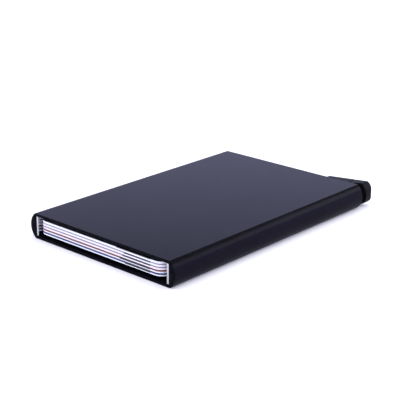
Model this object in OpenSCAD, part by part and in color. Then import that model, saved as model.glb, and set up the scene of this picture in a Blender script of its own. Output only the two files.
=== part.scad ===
// Slim aluminium card case with a lever that fans the cards out of its mouth.
// The case lies flat: X runs across it, Y runs along it with the mouth at -Y
// and the lever at +Y, and Z is its thickness. The origin is the middle of
// the flat bottom of the sleeve. All sizes are in millimetres.

/* [Sleeve] */
// Width of the sleeve over its bowed sides
sleeve_w = 62.8; // [61.5:0.1:76]
// Length of the sleeve, from its mouth to its closed end
sleeve_l = 92.8; // [92.4:0.1:115]
// Thickness of the sleeve
sleeve_t = 8.4; // [8.2:0.1:12]
// Thickness of the flat top and bottom walls
wall = 0.95; // [0.6:0.05:1.2]
// Thickness of each side wall at the middle of its bow
side_wall = 2.6; // [2:0.1:3.2]
// How far each side bows out beyond the flats
side_bow = 2.2; // [1:0.1:2.4]

/* [Cards] */
// Length of a card
card_l = 85.6; // [80:0.1:86]
// Width of a card
card_w = 53.98; // [50:0.02:54.5]
// Thickness of a card
card_thick = 0.76; // [0.5:0.02:0.84]
// Corner radius of a card
card_corner = 3.18; // [1:0.01:5]
// Free space between two cards
card_gap = 0.2; // [0.16:0.02:0.36]
// Free space under the lowest card
card_lift = 1.2; // [0.05:0.05:1.3]
// How far the cards lie to the left of the middle
card_shift = 0.9; // [0:0.1:1]

/* [Chip modules] */
// Length of a chip module, along the card
chip_l = 13; // [10:0.5:14]
// Width of a chip module, across the card
chip_w = 11.8; // [9:0.1:13]
// Depth of the pocket that a chip module is set in
chip_depth = 0.25; // [0.15:0.05:0.4]
// Distance of the chip's middle from the card's short edge
chip_from_end = 15.1; // [12:0.1:20]
// Distance of the chip's middle from the card's long edge
chip_from_side = 23.9; // [15:0.1:30]
// Corner radius of a chip module
chip_corner = 1.5; // [0.5:0.1:3]

/* [Lever] */
// Distance of the pivot from the middle of the sleeve
pivot_x = 13.8; // [12:0.1:15]
// Distance of the pivot inside the sleeve's closed end
pivot_inset = 2.6; // [2.4:0.05:3]
// Radius of the lever's hub
hub_r = 2.1; // [1.8:0.05:2.2]
// Radius of the pivot pin
pin_r = 0.75; // [0.5:0.05:1]
// How far the lever swings, in degrees
swing = 34; // [20:1:35]
// Travel radius of the step that pushes the lowest card
reach = 33; // [27:0.5:33]
// How much shorter each next step's travel radius is
reach_step = 5; // [3:0.5:6]
// Width of the blunt tip of each step
tip_land = 0.7; // [0.4:0.1:1]
// Width of the neck between the hub and the finger tab
neck_w = 2.5; // [2:0.1:2.8]
// Where the finger tab starts, to the right of the pivot
tab_start = 2.4; // [2.3:0.1:3.5]
// How far the finger tab stands out of the sleeve at its start
tab_low = 1.5; // [1:0.05:2]
// How far the finger tab stands out at the sleeve's flat edge
tab_high = 5.5; // [4:0.1:7]
// Rounding of the tab's outer corner
tab_round = 1.1; // [0.5:0.1:1.5]
// Width of the nail slot between the tab's tip and the sleeve
nail_slot = 2.15; // [1.5:0.05:2.5]
// Depth of the nail slot, in from the sleeve's flat edge
nail_slot_in = 2.2; // [1.5:0.1:6]
// Width of the shallow groove across the tab
groove_w = 0.35; // [0.2:0.05:0.6]
// Depth of the groove
groove_d = 0.2; // [0.1:0.05:0.4]
// Distance of the groove from the nail slot
groove_from_slot = 2; // [1:0.1:4]

/* [Base] */
// Depth from the sleeve's closed end to the cards
end_room = 6.8; // [6.4:0.1:7.3]
// Thickness of the end wall that closes the sleeve
end_wall = 1; // [0.6:0.1:1.1]
// Thickness of the shelf under the lever's hub
shelf_t = 0.47; // [0.4:0.01:0.55]
// Radius of the shelf around the pivot
shelf_r = 3.3; // [2.5:0.1:3.5]
// Thickness of the base's upper plate
base_roof = 0.62; // [0.5:0.02:0.7]
// Length of the posts beside the cards, from the closed end
post_l = 8; // [7:0.5:12]
// Thickness of the posts
post_w = 1.1; // [0.8:0.1:1.2]
// Radius of the locating peg
peg_r = 0.8; // [0.5:0.05:1]
// Length of the locating peg
peg_l = 2.5; // [1:0.1:3.5]

/* [Springs] */
// Thickness of the grip springs' steel
leaf_t = 0.4; // [0.2:0.05:0.5]
// Length of the hemmed end of each grip spring
hem_l = 3; // [2:0.5:6]
// Number of bows along each grip spring
bows = 3; // [2:1:4]
// Wire diameter of the return spring
wire_d = 0.26; // [0.2:0.02:0.3]
// Number of turns of the return spring
turns = 3; // [2:1:3]
// Reach of the return spring's fixed leg from the pivot
fixed_leg = 8; // [7:0.5:10]
// Reach of the return spring's moving leg from the pivot
moving_leg = 6.5; // [5:0.5:9]
// Width of the grooves that hold the legs
leg_groove = 0.5; // [0.4:0.05:0.8]

/* [Clearances] */
// Gap between the lever and what it moves past
lever_gap = 0.15; // [0.1:0.01:0.2]
// Gap between the finger tab and the sleeve's end
tab_gap = 0.25; // [0.2:0.05:0.4]
// Radial gap of the lever on its pin
bore_gap = 0.04; // [0.02:0.01:0.08]
// Gap around the base in the sleeve, none where it is pressed in
base_gap = 0; // [0:0.01:0.1]
// Gap between the lever's neck and the base's block
neck_gap = 0.5; // [0.3:0.1:1]
// Gap between two turns of the return spring
turn_gap = 0.03; // [0.02:0.01:0.05]
// Gap between the base's posts and the grip springs
post_gap = 0.3; // [0.1:0.1:1]
// Gap above and below a grip spring
grip_play = 0.1; // [0.05:0.05:0.3]
// How far the grip springs start inside the mouth
grip_inset = 0.2; // [0:0.1:1]
// Free space around the hub for the shelf and the return spring
hub_room = 0.7; // [0.4:0.05:1]
// Radial gap of the peg in its hole
peg_gap = 0.03; // [0.01:0.01:0.08]
// Gap between a card's edge and a grip spring
grip_gap = 0.1; // [0.05:0.01:0.2]
// Gap around a chip module in its pocket
chip_gap = 0.05; // [0.02:0.01:0.1]
// How far the finger tab stays inside the sleeve's thickness
tab_inset = 0.1; // [0.05:0.05:0.3]

/* [Hidden] */
$fn = 64;

card_count = 5;
eps = 0.01;
bow_steps = 24;
wire_steps = 16;
nose_steps = 12;

// Sleeve
mouth_y = -sleeve_l / 2;
end_y = sleeve_l / 2;
flat_half = sleeve_w / 2 - side_bow;
bow_r = (pow(sleeve_t / 2, 2) + pow(side_bow, 2)) / (2 * side_bow);
bow_x = sleeve_w / 2 - bow_r;
cavity_half = sleeve_w / 2 - side_wall;
ceiling = sleeve_t - wall;

// Cards, counted from the top one
card_pitch = card_thick + card_gap;
card_back = end_y - end_room;
card_front = card_back - card_l;
function card_z(i) = wall + card_lift + (card_count - i) * card_pitch;

// Lever. h is measured from the pivot towards the mouth, u towards -X.
pivot_y = end_y - pivot_inset;
push_h = pivot_y - card_back - lever_gap;
under_h = pivot_inset - end_wall - lever_gap;
arm_z0 = wall + lever_gap;
hub_z0 = wall + base_gap + shelf_t + lever_gap;
roof_z = ceiling - base_gap - base_roof;
hub_top = roof_z - (turns + 1) * wire_d - 2 * lever_gap;
spring_room = hub_r + hub_room;
function step_reach(i) = reach - (card_count - i) * reach_step;
tab_slope = (tab_high - tab_low) / (flat_half - pivot_x - tab_start);

// Base
base_half = cavity_half - base_gap;
block_x = pivot_x + tab_start + neck_w + neck_gap;
opening_x = pivot_x - spring_room;
block_front = card_back + 2 * lever_gap;
peg_x = (block_x + base_half) / 2;
peg_y = (block_front + end_y) / 2;

// Springs
coil_r = pin_r + 2 * lever_gap + wire_d / 2;
coil_pitch = wire_d + turn_gap;
coil_z = hub_top + lever_gap + wire_d / 2;
grip_front = mouth_y + grip_inset;
grip_back = end_y - post_l - post_gap;

// Outline of the sleeve in the XZ plane: a flat band with bowed sides.
module sleeve_outline() {
    translate([-flat_half, 0]) square([2 * flat_half, sleeve_t]);
    for (side = [-1, 1]) intersection() {
        translate([side * bow_x, sleeve_t / 2]) circle(r = bow_r, $fn = 128);
        translate([side > 0 ? flat_half - eps : -sleeve_w / 2 - eps, 0])
            square([side_bow + 2 * eps, sleeve_t]);
    }
}

// Anything drawn in XZ, stretched along Y from y0 for a length l.
module along_y(y0, l) {
    translate([0, y0 + l, 0]) rotate([90, 0, 0]) linear_extrude(l) children();
}

module sleeve() {
    color([0.18, 0.18, 0.22])
        along_y(mouth_y, sleeve_l)
            difference() {
                sleeve_outline();
                translate([-cavity_half, wall])
                    square([2 * cavity_half, ceiling - wall]);
            }
}

// Profile of one step of the lever: a flat push edge and an involute nose, so
// that the card moves by the step's travel radius for each radian of swing.
function nose_point(c, a) =
    let (h = push_h + c * a * PI / 180)
    [c * cos(a) + h * sin(a), -c * sin(a) + h * cos(a)];
function step_profile(c) = concat(
    [[0, -under_h], [0, push_h]],
    [for (k = [0 : nose_steps]) nose_point(c, swing * k / nose_steps)],
    [[nose_point(c, swing)[0] - tip_land, -under_h]]);

module step(i) {
    z0 = i == card_count ? arm_z0 : card_z(i) - card_gap / 2;
    z1 = i == 1 ? card_z(1) + card_thick : card_z(i) + card_thick + card_gap / 2;
    translate([pivot_x, pivot_y, z0]) rotate(180)
        linear_extrude(z1 - z0) polygon(step_profile(step_reach(i)));
}

// The hub and the neck that carries the finger tab out of the sleeve.
module hub_and_neck() {
    neck_x = tab_start + neck_w;
    translate([pivot_x, pivot_y, hub_z0]) {
        cylinder(r = hub_r, h = hub_top - hub_z0);
        linear_extrude(hub_top - hub_z0) polygon([
            [-hub_r, 0],
            [tab_start, pivot_inset + tab_low],
            [neck_x, pivot_inset + tab_low],
            [neck_x, pivot_inset],
            [hub_r, 0],
        ]);
    }
}

// The finger tab has the sleeve's own bowed side and stands out at a slant.
// y is measured from the sleeve's end.
module finger_tab() {
    x0 = pivot_x + tab_start;
    x1 = sleeve_w / 2;
    slot_x = flat_half - nail_slot_in + nail_slot;
    round_x = x1 - tab_round;
    round_y = tab_low + tab_slope * (round_x - x0) - tab_round;
    far_y = round_y + tab_round;
    corner = [for (a = [90 : -15 : 0]) [round_x, round_y] + tab_round * [cos(a), sin(a)]];
    translate([0, end_y, 0]) difference() {
        intersection() {
            translate([0, 0, tab_inset])
                linear_extrude(sleeve_t - 2 * tab_inset)
                    polygon(concat([[x0, tab_gap], [x0, tab_low]], corner, [[x1, tab_gap]]));
            along_y(0, far_y + 1) sleeve_outline();
        }
        // nail slot with a round end
        translate([slot_x, 0, 0]) cylinder(r = nail_slot, h = sleeve_t);
        translate([slot_x, 0, 0]) cube([sleeve_w, nail_slot, sleeve_t]);
        // grooves across the top and the bottom
        for (z = [tab_inset - groove_d, sleeve_t - tab_inset - groove_d])
            translate([slot_x - nail_slot - groove_from_slot, 0, z])
                cube([groove_w, far_y, 2 * groove_d]);
    }
}

module ejector_lever() {
    color([0.07, 0.07, 0.08]) difference() {
        union() {
            for (i = [1 : card_count]) step(i);
            hub_and_neck();
            finger_tab();
        }
        // bore for the pin
        translate([pivot_x, pivot_y, 0])
            cylinder(r = pin_r + bore_gap, h = sleeve_t);
        // room under the arm's root for the shelf
        translate([pivot_x - shelf_r - 2 * lever_gap, card_back, 0])
            cube([2 * shelf_r, end_room, hub_z0]);
        // room over the hub for the return spring
        translate([pivot_x, pivot_y, hub_top])
            cylinder(r = spring_room, h = sleeve_t);
        // groove for the spring's moving leg
        translate([pivot_x - moving_leg - leg_groove, pivot_y - coil_r - leg_groove / 2,
                   coil_z + turns * coil_pitch - leg_groove / 2])
            cube([moving_leg, leg_groove, sleeve_t]);
    }
}

module pivot_pin() {
    color([0.75, 0.75, 0.77])
        translate([pivot_x, pivot_y, wall + base_gap])
            cylinder(r = pin_r, h = ceiling - wall - 2 * base_gap);
}

module pin_hole() {
    translate([pivot_x, pivot_y, 0]) cylinder(r = pin_r, h = sleeve_t);
}

module base_lower() {
    z0 = wall + base_gap;
    top = ceiling - base_gap;
    color([0.06, 0.06, 0.07]) difference() {
        union() {
            // shelf under the lever's hub
            intersection() {
                translate([pivot_x, pivot_y, z0]) cylinder(r = shelf_r, h = shelf_t);
                translate([0, 0, z0]) cube([sleeve_w, end_y, shelf_t]);
            }
            translate([pivot_x - shelf_r, pivot_y, z0])
                cube([block_x - pivot_x + shelf_r + eps, pivot_inset, shelf_t]);
            // wall that closes the sleeve's end
            translate([-base_half, end_y - end_wall, z0])
                cube([base_half + opening_x, end_wall, top - z0]);
            // post at the left
            translate([-base_half, end_y - post_l, z0])
                cube([post_w, post_l, top - z0]);
            // block and post at the right, under the upper plate
            translate([block_x, block_front, z0])
                cube([base_half - block_x, end_y - block_front, roof_z - z0]);
            translate([base_half - post_w, end_y - post_l, z0])
                cube([post_w, post_l, roof_z - z0]);
        }
        pin_hole();
        // hole for the upper plate's peg
        translate([peg_x, peg_y, roof_z - peg_l - lever_gap])
            cylinder(r = peg_r + peg_gap, h = sleeve_t);
        // groove for the spring's fixed leg
        translate([pivot_x, pivot_y - coil_r - leg_groove / 2, coil_z - leg_groove / 2])
            cube([fixed_leg + leg_groove, leg_groove, sleeve_t]);
    }
}

module base_upper() {
    ear_r = spring_room - 2 * lever_gap;
    color([0.06, 0.06, 0.07]) difference() {
        union() {
            translate([pivot_x, pivot_y, roof_z]) cylinder(r = ear_r, h = base_roof);
            translate([pivot_x - ear_r, pivot_y, roof_z])
                cube([base_half - pivot_x + ear_r, pivot_inset, base_roof]);
            translate([pivot_x, block_front, roof_z])
                cube([base_half - pivot_x, end_y - block_front, base_roof]);
            translate([base_half - post_w, end_y - post_l, roof_z])
                cube([post_w, post_l, base_roof]);
            translate([peg_x, peg_y, roof_z - peg_l]) cylinder(r = peg_r, h = peg_l + eps);
        }
        pin_hole();
    }
}

// Points along the return spring, around the pivot: fixed leg, coil, moving leg.
function spring_path() = concat(
    [[fixed_leg, -coil_r, 0], [fixed_leg / 2, -coil_r, 0]],
    [for (k = [0 : wire_steps * turns])
        let (a = -90 - 360 * k / wire_steps)
        [coil_r * cos(a), coil_r * sin(a), coil_pitch * k / wire_steps]],
    [[-moving_leg / 2, -coil_r, turns * coil_pitch],
     [-moving_leg, -coil_r, turns * coil_pitch]]);

// A tube of n sides along a path that stays close to level.
module wire(path, r, n = 8) {
    last = len(path) - 1;
    function heading(k) =
        let (d = path[min(k + 1, last)] - path[max(k - 1, 0)])
        [d[0], d[1], 0] / norm([d[0], d[1]]);
    function ring(k) =
        let (t = heading(k), side = [-t[1], t[0], 0])
        [for (j = [0 : n - 1])
            path[k] + r * (cos(360 * j / n) * side + sin(360 * j / n) * [0, 0, 1])];
    points = [for (k = [0 : last]) each ring(k)];
    sides = [for (k = [0 : last - 1], j = [0 : n - 1])
        [k * n + j, k * n + (j + 1) % n, (k + 1) * n + (j + 1) % n, (k + 1) * n + j]];
    start = [for (j = [n - 1 : -1 : 0]) j];
    end = [for (j = [0 : n - 1]) last * n + j];
    polyhedron(points, concat([start], sides, [end]), convexity = 8);
}

module return_spring() {
    color([0.7, 0.7, 0.72])
        translate([pivot_x, pivot_y, coil_z]) wire(spring_path(), wire_d / 2);
}

// How far the back of a grip spring stands off the side wall, at a share s of
// its length behind the hem: it bows in to the cards and back to the wall.
function bow(side, s) =
    (cavity_half - card_w / 2 + side * card_shift - grip_gap - leaf_t)
    * pow(sin(180 * bows * s), 2);

module grip_spring(side) {
    leaf_y = grip_front + hem_l;
    leaf_l = grip_back - leaf_y;
    count = bow_steps * bows;
    back = [for (k = [0 : count]) [-bow(side, k / count), leaf_y + leaf_l * k / count]];
    front = [for (k = [count : -1 : 0]) back[k] - [leaf_t, 0]];
    z0 = wall + grip_play;
    height = ceiling - grip_play - z0;
    color([0.78, 0.78, 0.8]) on_side(side) translate([cavity_half, 0, z0]) {
        linear_extrude(height) polygon(concat(back, front));
        // the end is folded back on itself
        translate([-2 * leaf_t, grip_front, 0]) cube([2 * leaf_t, hem_l, height]);
    }
}

// Left-hand pieces are the mirror image of right-hand ones.
module on_side(side) {
    if (side < 0) mirror([1, 0, 0]) children();
    else children();
}

module chip_place(i) {
    chip_x = card_w / 2 - card_shift - chip_from_side;
    translate([chip_x, card_front + chip_from_end, card_z(i)]) children();
}

module rounded_plate(w, l, r, h) {
    linear_extrude(h) {
        translate([-w / 2 + r, -l / 2]) square([w - 2 * r, l]);
        translate([-w / 2, -l / 2 + r]) square([w, l - 2 * r]);
        for (x = [-1, 1], y = [-1, 1])
            translate([x * (w / 2 - r), y * (l / 2 - r)]) circle(r = r);
    }
}

module card(i) {
    color([0.92, 0.92, 0.94]) difference() {
        translate([-card_shift, (card_front + card_back) / 2, card_z(i)])
            rounded_plate(card_w, card_l, card_corner, card_thick);
        chip_place(i) translate([0, 0, -eps])
            rounded_plate(chip_w, chip_l, chip_corner, chip_depth + eps);
    }
}

module card_chip(i) {
    color([0.85, 0.68, 0.35]) chip_place(i)
        rounded_plate(chip_w - 2 * chip_gap, chip_l - 2 * chip_gap,
                      chip_corner - chip_gap, chip_depth);
}

sleeve();
base_lower();
base_upper();
ejector_lever();
pivot_pin();
return_spring();
grip_spring(-1);  // grip_spring_left
grip_spring(1);  // grip_spring_right
card(1);  // card_1
card(2);  // card_2
card(3);  // card_3
card(4);  // card_4
card(5);  // card_5
card_chip(1);  // card_chip_1
card_chip(2);  // card_chip_2
card_chip(3);  // card_chip_3
card_chip(4);  // card_chip_4
card_chip(5);  // card_chip_5
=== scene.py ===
import math
import bmesh
import bpy
from mathutils import Matrix, Vector


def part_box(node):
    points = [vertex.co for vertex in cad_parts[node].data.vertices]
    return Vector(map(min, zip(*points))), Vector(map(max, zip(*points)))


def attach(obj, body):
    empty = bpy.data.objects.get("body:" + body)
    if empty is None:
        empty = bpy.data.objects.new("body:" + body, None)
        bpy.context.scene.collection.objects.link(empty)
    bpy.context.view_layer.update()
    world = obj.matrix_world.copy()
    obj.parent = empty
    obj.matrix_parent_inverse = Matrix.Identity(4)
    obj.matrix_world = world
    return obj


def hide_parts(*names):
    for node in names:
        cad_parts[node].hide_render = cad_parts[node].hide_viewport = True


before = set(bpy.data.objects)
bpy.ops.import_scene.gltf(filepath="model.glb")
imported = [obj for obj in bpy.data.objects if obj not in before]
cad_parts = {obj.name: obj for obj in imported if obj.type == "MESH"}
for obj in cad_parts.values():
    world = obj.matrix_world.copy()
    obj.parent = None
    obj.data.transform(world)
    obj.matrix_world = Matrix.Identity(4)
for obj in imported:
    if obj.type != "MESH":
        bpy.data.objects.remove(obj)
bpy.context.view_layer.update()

mm = 0.001


# --- Sleeve ------------------------------------------------------------------
# One length of extruded aluminium tube with flat faces and bowed sides. It is
# blasted, black anodised with a bluish cast, and its edges are broken by hand.
class Wire:
    """The output of a shader node. Arithmetic on it adds Math nodes."""

    def __init__(self, tree, socket):
        self.tree = tree
        self.socket = socket

    def node(self, kind, settings=(), sockets=(), out=0):
        made = self.tree.nodes.new(kind)
        for name, value in dict(settings).items():
            if name == "stops":
                fill_ramp(made.color_ramp, value)
            else:
                setattr(made, name, value)
        for key, value in dict(sockets).items():
            if isinstance(value, Wire):
                self.tree.links.new(value.socket, made.inputs[key])
            else:
                made.inputs[key].default_value = value
        return Wire(self.tree, made.outputs[out])

    def math(self, operation, *values):
        return self.node("ShaderNodeMath", {"operation": operation}, enumerate(values))

    def __add__(self, other):
        return self.math("ADD", self, other)

    def __sub__(self, other):
        return self.math("SUBTRACT", self, other)

    def __rsub__(self, other):
        return self.math("SUBTRACT", other, self)

    def __mul__(self, other):
        return self.math("MULTIPLY", self, other)

    def __truediv__(self, other):
        return self.math("DIVIDE", self, other)

    __radd__ = __add__
    __rmul__ = __mul__

    def over(self, other):
        return self.math("GREATER_THAN", self, other)

    def between(self, low, high):
        """1 inside the band from low to high, 0 outside."""
        return self.over(low) * (1 - self.over(high))

    def ramp(self, low, high):
        """0 at low, 1 at high, smooth between."""
        spans = {0: self, 1: low, 2: high, 3: 0.0, 4: 1.0}
        return self.node("ShaderNodeMapRange", {"interpolation_type": "SMOOTHSTEP"}, spans)

    def mixed(self, first, second):
        """The colour first where this is 0 and second where it is 1."""
        sockets = {0: self, 6: first, 7: second}
        return self.node("ShaderNodeMix", {"data_type": "RGBA"}, sockets, out=2)


def fill_ramp(ramp, stops):
    while len(ramp.elements) < len(stops):
        ramp.elements.new(1.0)
    for element, (place, colour) in zip(ramp.elements, stops):
        element.position = place
        element.color = colour


class Finish(Wire):
    """A new material: its first wire is the position in metres on the object."""

    def __init__(self, name, **sockets):
        self.material = bpy.data.materials.new(name)
        self.material.use_nodes = True
        tree = self.material.node_tree
        self.shader = tree.nodes["Principled BSDF"]
        place = tree.nodes.new("ShaderNodeTexCoord").outputs["Object"]
        super().__init__(tree, place)
        self.feed(**sockets)

    def feed(self, **sockets):
        """Sets sockets of the surface shader, with _ for a space in their names."""
        for name, value in sockets.items():
            socket = self.shader.inputs[name.replace("_", " ")]
            if isinstance(value, Wire):
                self.tree.links.new(value.socket, socket)
            else:
                socket.default_value = value

    def axes(self):
        """The position along X, Y and Z, one wire each."""
        split = self.node("ShaderNodeSeparateXYZ", (), {0: self})
        outputs = split.socket.node.outputs
        return [Wire(self.tree, outputs[axis]) for axis in "XYZ"]

    def facing(self, axis):
        """How far the surface faces along an axis, from -1 to 1."""
        normal = self.node("ShaderNodeTexCoord", out=1)
        split = self.node("ShaderNodeSeparateXYZ", (), {0: normal})
        return Wire(self.tree, split.socket.node.outputs[axis])

    def noise(self, size, detail, stretch=(1, 1, 1)):
        """Noise whose grains are about size metres across, from 0 to 1."""
        scaled = self.node("ShaderNodeMapping", (), {0: self, 3: stretch})
        sockets = {"Vector": scaled, "Scale": 1 / size, "Detail": detail}
        return self.node("ShaderNodeTexNoise", (), sockets)

    def bump(self, height, depth):
        """Feeds the normal with a relief of that depth in metres."""
        sockets = {"Height": height, "Distance": depth}
        self.feed(Normal=self.node("ShaderNodeBump", (), sockets))

    def on(self, piece):
        """Gives the whole piece this finish."""
        piece.data.materials.clear()
        piece.data.materials.append(self.material)


def new_piece(name, mesh):
    piece = bpy.data.objects.new(name, mesh)
    bpy.context.collection.objects.link(piece)
    return piece


def smooth(piece, sharp_over):
    """Smooth shading that keeps flat faces flat and edges over an angle sharp."""
    mesh = piece.data
    mesh.shade_smooth()
    mesh.set_sharp_from_angle(angle=math.radians(sharp_over))
    weights = piece.modifiers.new("flat faces stay flat", "WEIGHTED_NORMAL")
    weights.keep_sharp = True


def arc(centre, radius, start, end, steps):
    """Points on an arc in XZ, from one angle to another in degrees."""
    turns = [math.radians(start + (end - start) * k / steps) for k in range(steps + 1)]
    return [(centre[0] + radius * math.cos(a), centre[1] + radius * math.sin(a)) for a in turns]


def mirrored(right_side):
    """A closed outline from its right side, listed from bottom to top."""
    return right_side + [(-x, z) for x, z in reversed(right_side)]


def shrunk(outline, depth):
    """The outline moved inward by a depth, or outward where it is negative."""
    count = len(outline)
    moved = []
    for k, (x, z) in enumerate(outline):
        before, after = outline[k - 1], outline[(k + 1) % count]
        along = Vector((after[0] - before[0], after[1] - before[1])).normalized()
        moved.append((x - along.y * depth, z + along.x * depth))
    return moved


def ring_mesh(name, rings):
    """A mesh from rings of (y, outline), the last of which joins the first."""
    mesh = bmesh.new()
    loops = [[mesh.verts.new((x, y, z)) for x, z in outline] for y, outline in rings]
    for first, second in zip(loops, loops[1:] + loops[:1]):
        for k in range(len(first)):
            mesh.faces.new((first[k - 1], first[k], second[k], second[k - 1]))
    bmesh.ops.recalc_face_normals(mesh, faces=mesh.faces)
    data = bpy.data.meshes.new(name)
    mesh.to_mesh(data)
    mesh.free()
    return data


low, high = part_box("sleeve")
base_low, base_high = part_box("base_lower")
edge_round = 0.45 * mm
mouth_break = 0.1 * mm
bore_break = 0.12 * mm
cavity_round = 0.3 * mm
bow = 2.2 * mm
half_w, thick = high.x, high.z
round_steps = 6
side_steps = 40
bow_r = ((thick / 2) ** 2 + bow ** 2) / (2 * bow)
bow_x = half_w - bow_r
# the rounding touches the flat face and the bow from inside
round_z = thick - edge_round
round_x = bow_x + math.sqrt((bow_r - edge_round) ** 2 - (round_z - thick / 2) ** 2)
meet = math.degrees(math.atan2(round_z - thick / 2, round_x - bow_x))
lower_round = arc((round_x, edge_round), edge_round, -90, -meet, round_steps)
upper_round = arc((round_x, round_z), edge_round, meet, 90, round_steps)
side_arc = arc((bow_x, thick / 2), bow_r, -meet, meet, side_steps)
outer = mirrored(lower_round + side_arc[1:-1] + upper_round)
# the cavity's outline has as many points as the outer one
wall_x = base_high.x
inner_x = wall_x - cavity_round
wall_start, wall_end = base_low.z + cavity_round, base_high.z - cavity_round
lower_corner = arc((inner_x, wall_start), cavity_round, -90, 0, round_steps)
upper_corner = arc((inner_x, wall_end), cavity_round, 0, 90, round_steps)
wall_step = (wall_end - wall_start) / side_steps
wall_line = [(wall_x, wall_start + wall_step * k) for k in range(1, side_steps)]
inner = mirrored(lower_corner + wall_line + upper_corner)


def broken_end(y, inward, outline, side, radius, turns):
    """Rings that round the edge where an outline meets the end face at y."""
    broken = []
    for turn in turns:
        along = radius * (1 - math.sin(math.radians(turn)))
        across = radius * (1 - math.cos(math.radians(turn)))
        broken.append((y + inward * along, shrunk(outline, side * across)))
    return broken


outside_turns = (90, 67, 45, 22, 0)
bore_turns = (90, 45, 0)
rings = broken_end(low.y, 1, outer, 1, mouth_break, outside_turns)
rings += broken_end(high.y, -1, outer, 1, mouth_break, outside_turns[::-1])
rings += broken_end(high.y, -1, inner, -1, bore_break, bore_turns)
rings += broken_end(low.y, 1, inner, -1, bore_break, bore_turns[::-1])
sleeve = new_piece("sleeve_extrusion", ring_mesh("sleeve_extrusion", rings))
smooth(sleeve, 60)

anodised = Finish("black_anodising", IOR=1.08)
grain = anodised.noise(0.16 * mm, 3.0)
peened = anodised.noise(0.7 * mm, 2.0)
cloud = anodised.noise(9 * mm, 2.0)
mottle = (cloud * 0.3 + peened * 0.7).ramp(0.35, 0.65)
# painted light: the dye is made a shade lighter on the bowed sides, as if a side light fell on
# them, and kept darker on the top, the bottom and the ends
sideways = anodised.facing("X")
side_light_mask = (sideways * sideways).ramp(0.36, 0.75)
# painted shade on the flat faces and ends, painted light on the bowed sides, both over the
# random mottle
flat_dye_in_painted_shade = mottle.mixed((0.0006, 0.0006, 0.0018, 1), (0.0042, 0.0042, 0.0072, 1))
side_dye_painted_lit = mottle.mixed((0.0042, 0.0036, 0.0068, 1), (0.0062, 0.0055, 0.0098, 1))
anodised.feed(
    Base_Color=side_light_mask.mixed(flat_dye_in_painted_shade, side_dye_painted_lit),
    Roughness=0.16 + grain * 0.1,
)
anodised.bump(grain + peened * 1.6, 0.003 * mm)
anodised.on(sleeve)
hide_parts("sleeve")
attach(sleeve, "case")


# --- Base --------------------------------------------------------------------
# Two black mouldings that close the far end of the sleeve. The lower one has
# the shelf and the posts, and the upper plate is pegged over the pivot.
moulded = Finish("moulded_black", IOR=1.25)
spark = moulded.noise(0.12 * mm, 2.0)
moulded.feed(
    Base_Color=spark.ramp(0.3, 0.7).mixed((0.006, 0.006, 0.007, 1), (0.010, 0.010, 0.011, 1)),
    Roughness=0.5 + spark * 0.15,
)
moulded.bump(spark, 0.01 * mm)
for node in ("base_lower", "base_upper"):
    moulded.on(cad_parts[node])


# --- Ejector lever -----------------------------------------------------------
# A single acetal moulding: five steps behind the cards, a hub and a neck, and
# the finger tab outside. It drops over the pin before the upper plate goes on.
def softened(node, width, name):
    """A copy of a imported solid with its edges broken, which stands for it."""
    mesh = bmesh.new()
    mesh.from_mesh(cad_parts[node].data)
    bmesh.ops.remove_doubles(mesh, verts=mesh.verts, dist=0.001 * mm)
    flat = math.radians(1)
    bmesh.ops.dissolve_limit(mesh, angle_limit=flat, verts=mesh.verts, edges=mesh.edges)
    data = bpy.data.meshes.new(name)
    mesh.to_mesh(data)
    mesh.free()
    piece = new_piece(name, data)
    bevel = piece.modifiers.new("broken edges", "BEVEL")
    bevel.width = width
    bevel.segments = 2
    bevel.limit_method = "ANGLE"
    bevel.angle_limit = math.radians(35)
    bevel.use_clamp_overlap = True
    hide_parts(node)
    return piece


def rounded_under(piece, radius, anchor):
    """Rounds the lower outer edges of the part of a piece beyond the anchor.

    The piece is cut level at each of a few turns of the rounding, and the
    points below its top are then drawn in towards the anchor.
    """
    turns = (8, 20, 34, 50, 68, 89)
    same_place = 0.001 * mm
    mesh = bmesh.new()
    mesh.from_mesh(piece.data)
    floor = min(v.co.z for v in mesh.verts)
    reach = [max(v.co[axis] for v in mesh.verts) - anchor[axis] for axis in (0, 1)]
    for turn in turns:
        height = Vector((0, 0, floor + radius * (1 - math.cos(math.radians(turn)))))
        whole = mesh.verts[:] + mesh.edges[:] + mesh.faces[:]
        bmesh.ops.bisect_plane(
            mesh, geom=whole, dist=same_place, plane_co=height, plane_no=(0, 0, 1)
        )
    for vertex in mesh.verts:
        rest = max(0.0, 1 - (vertex.co.z - floor) / radius)
        inset = radius * (1 - math.sqrt(1 - rest * rest))
        if vertex.co.y < anchor[1]:
            continue
        for axis in (0, 1):
            beyond = max(0.0, vertex.co[axis] - anchor[axis])
            vertex.co[axis] -= beyond * inset / reach[axis]
    mesh.to_mesh(piece.data)
    mesh.free()


edge_break = 0.15 * mm
tab_round = 2.4 * mm
tab_tip_w = 8 * mm
tab_from_sleeve = 1.2 * mm
lever = softened("ejector_lever", edge_break, "lever_moulding")
rounded_under(lever, tab_round, (high.x - tab_tip_w, high.y + tab_from_sleeve))
smooth(lever, 40)
acetal = Finish("lever_acetal", IOR=1.1)
speckle = acetal.noise(0.1 * mm, 2.0)
acetal.feed(
    Base_Color=speckle.ramp(0.3, 0.7).mixed((0.003, 0.003, 0.0035, 1), (0.006, 0.006, 0.007, 1)),
    Roughness=0.4 + speckle * 0.12,
)
acetal.bump(speckle, 0.006 * mm)
acetal.on(lever)
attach(lever, "lever")


# --- Pivot pin and return spring ---------------------------------------------
# A ground steel pin pressed into both base pieces, and a coil of drawn wire
# round it that brings the lever back.
steel = Finish("ground_steel", Metallic=1.0)
turning = steel.noise(0.3 * mm, 3.0, (1, 1, 14))
steel.feed(
    Base_Color=turning.ramp(0.2, 0.8).mixed((0.52, 0.52, 0.54, 1), (0.64, 0.64, 0.66, 1)),
    Roughness=0.22 + turning * 0.15,
)
steel.bump(turning, 0.004 * mm)
for node in ("pivot_pin", "return_spring"):
    steel.on(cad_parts[node])


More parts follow.
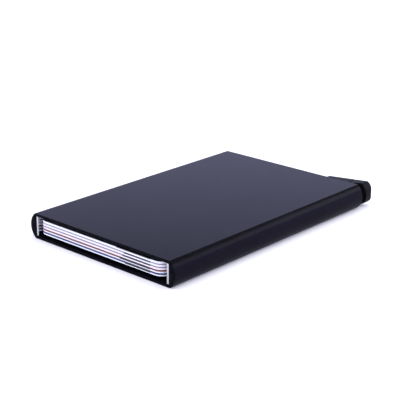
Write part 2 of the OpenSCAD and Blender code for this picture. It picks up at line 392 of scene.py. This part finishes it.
# --- Grip springs ------------------------------------------------------------
# Two strips of rolled stainless steel, folded back on themselves at the mouth
# and bowed three times, that press on the long edges of the cards.
strip = Finish("rolled_strip", Metallic=1.0)
rolling = strip.noise(0.5 * mm, 3.0, (1, 0.05, 1.5))
strip.feed(
    Base_Color=rolling.ramp(0.2, 0.8).mixed((0.46, 0.46, 0.48, 1), (0.58, 0.58, 0.61, 1)),
    Roughness=0.16 + rolling * 0.12,
)
strip.bump(rolling, 0.004 * mm)
for node in ("grip_spring_left", "grip_spring_right"):
    strip.on(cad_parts[node])


# --- Cards -------------------------------------------------------------------
# Five standard plastic cards with their backs up: white core, printed and
# laminated faces, a magnetic stripe along one long edge. Widths of the stripes
# and depths of the print on the rims are in millimetres, from the top card down.
# the top card's back is near-black, painted shade for the shadow that falls under the sleeve's
# top wall
backs = [(0.03, 0.03, 0.035, 1), (0.30, 0.29, 0.32, 1), (0.30, 0.22, 0.26, 1),
         (0.18, 0.035, 0.02, 1), (0.02, 0.035, 0.12, 1)]
fronts = [(0.10, 0.22, 0.36, 1), (0.55, 0.42, 0.18, 1), (0.12, 0.30, 0.22, 1),
          (0.40, 0.12, 0.12, 1), (0.30, 0.30, 0.34, 1)]
cores = [(0.72, 0.72, 0.74, 1), (0.68, 0.67, 0.73, 1), (0.72, 0.66, 0.67, 1),
         (0.70, 0.70, 0.75, 1), (0.72, 0.75, 0.77, 1)]
print_depths = [0.08, 0.13, 0.17, 0.34, 0.38]
stripe_from_edge = 4.9 * mm
stripe_widths = [14, 11, 11.5, 12.7, 10.5]
stripe_extra_depth = 0.16 * mm
panel_from_edge = 18.5 * mm
panel_w = 9 * mm
panel_l = 58 * mm
line_pitch = 0.8 * mm
for k in range(5):
    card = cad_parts[f"card_{k + 1}"]
    card_low, card_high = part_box(f"card_{k + 1}")
    stock = Finish(f"card_{k + 1}_stock")
    x, y, z = stock.axes()
    up = stock.facing("Z")
    stripe_x = card_high.x - stripe_from_edge
    stripe = x.between(stripe_x - stripe_widths[k] * mm, stripe_x)
    back = stripe.mixed(backs[k], (0.008, 0.008, 0.01, 1))
    # the signature panel has fine slanting lines
    panel_x = card_high.x - panel_from_edge
    panel_y = (card_low.y + card_high.y) / 2
    panel = x.between(panel_x - panel_w, panel_x)
    panel = panel * y.between(panel_y - panel_l / 2, panel_y + panel_l / 2)
    lines = stock.math("FRACT", (x + y) / line_pitch).over(0.8)
    back = panel.mixed(back, lines.mixed((0.78, 0.78, 0.76, 1), (0.60, 0.63, 0.68, 1)))
    # the print shows as a thin line along the upper rim of the white core
    rim = (z + stripe * stripe_extra_depth).over(card_high.z - print_depths[k] * mm)
    edge = rim.mixed(cores[k], back)
    face = up.over(0.5).mixed(edge, back)
    # the front is printed with broad soft waves
    wave = stock.noise(24 * mm, 1.0, (1, 0.5, 1)).ramp(0.35, 0.65)
    pale_front = tuple(0.5 * c + 0.3 for c in fronts[k][:3]) + (1,)
    face = up.over(-0.5).mixed(wave.mixed(fronts[k], pale_front), face)
    paper = stock.noise(0.08 * mm, 2.0)
    scuff = stock.noise(3 * mm, 4.0, (1, 0.2, 1)).ramp(0.5, 0.8)
    stock.feed(Base_Color=face, Roughness=0.28 + paper * 0.12 + scuff * 0.15)
    stock.bump(paper, 0.002 * mm)
    stock.on(card)


# --- Chip modules ------------------------------------------------------------
# A gold-plated contact plate is set in a pocket in the front of each card.
gold = Finish("chip_gold", Metallic=1.0)
tint = gold.noise(2 * mm, 2.0)
# the plate is cut into four contacts on each side of a middle field
chip_low, chip_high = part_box("card_chip_1")
x, y, _ = gold.axes()
over_plate = (x - chip_low.x) / (chip_high.x - chip_low.x)
along_plate = (y - chip_low.y) / (chip_high.y - chip_low.y)
rows = gold.math("FRACT", over_plate * 4).between(0.05, 0.95)
pads = along_plate.between(0.38, 0.62) + rows * (1 - along_plate.between(0.345, 0.655))
plated = tint.ramp(0.3, 0.7).mixed((0.80, 0.60, 0.26, 1), (0.90, 0.72, 0.36, 1))
gold.feed(
    Base_Color=pads.mixed((0.16, 0.12, 0.06, 1), plated),
    Roughness=0.28 + tint * 0.1,
)
gold.bump(pads, 0.02 * mm)
for k in range(5):
    gold.on(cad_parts[f"card_chip_{k + 1}"])


# --- Table, light and camera -------------------------------------------------
# A plain pale table under a wide overhead softbox. The walls round it are
# bright and bluish low down and dark above, and a softbox stands at one side.
span = 3.0
corners = [(-span, -span, 0), (span, -span, 0), (span, span, 0), (-span, span, 0)]
sheet = bpy.data.meshes.new("table")
sheet.from_pydata(corners, [], [(0, 1, 2, 3)])
table = new_piece("table", sheet)
table.location.z = -0.01 * mm
pale = Finish("pale_table", Specular_IOR_Level=0.1)
speck = pale.noise(3 * mm, 3.0)
pale.feed(
    Base_Color=speck.mixed((0.84, 0.84, 0.85, 1), (0.88, 0.88, 0.88, 1)),
    Roughness=0.8 + speck * 0.1,
)
pale.on(table)

world = bpy.data.worlds.new("studio_walls")
bpy.context.scene.world = world
world.use_nodes = True
tree = world.node_tree
sky = Wire(tree, tree.nodes.new("ShaderNodeTexCoord").outputs["Generated"])
split = sky.node("ShaderNodeSeparateXYZ", (), {0: sky})
height = Wire(tree, split.socket.node.outputs["Z"])
low_wall, high_wall = (1.88, 1.92, 2.95, 1), (0.03, 0.03, 0.04, 1)
bands = [(0.0, low_wall), (0.36, low_wall), (0.5, high_wall)]
walls = sky.node("ShaderNodeValToRGB", {"stops": bands}, {0: height})
tree.links.new(walls.socket, tree.nodes["Background"].inputs["Color"])


def hung(light, place):
    """Hangs a light at a place and turns it to the case."""
    lamp = new_piece(light.name, light)
    lamp.location = place
    lamp.rotation_euler = (-Vector(place)).to_track_quat("-Z", "Y").to_euler()


overhead = bpy.data.lights.new("overhead_softbox", "SUN")
overhead.energy = 3.8
overhead.angle = math.radians(110)
hung(overhead, (0, 0, 1))

side_panel = bpy.data.lights.new("side_panel", "AREA")
side_panel.shape = "RECTANGLE"
side_panel.size = 0.5
side_panel.size_y = 0.26
side_panel.energy = 2.6
side_panel.color = (0.95, 0.92, 1.0)
hung(side_panel, (0.519, 0.714, 0.469))

scene = bpy.context.scene
scene.view_settings.view_transform = "Standard"
camera = new_piece("camera", bpy.data.cameras.new("camera"))
scene.camera = camera
camera.data.sensor_width = 36
camera.data.lens = 101.98
camera.data.clip_start = 0.01
azimuth, elevation, roll = (math.radians(angle) for angle in (42.019, 19.26, 0.243))
place = Matrix.Translation((0.233556, -0.26044, 0.130034))
round_case = Matrix.Rotation(azimuth, 4, "Z")
down_to_case = Matrix.Rotation(math.pi / 2 - elevation, 4, "X")
level = Matrix.Rotation(roll, 4, "Z")
camera.matrix_world = place @ round_case @ down_to_case @ level
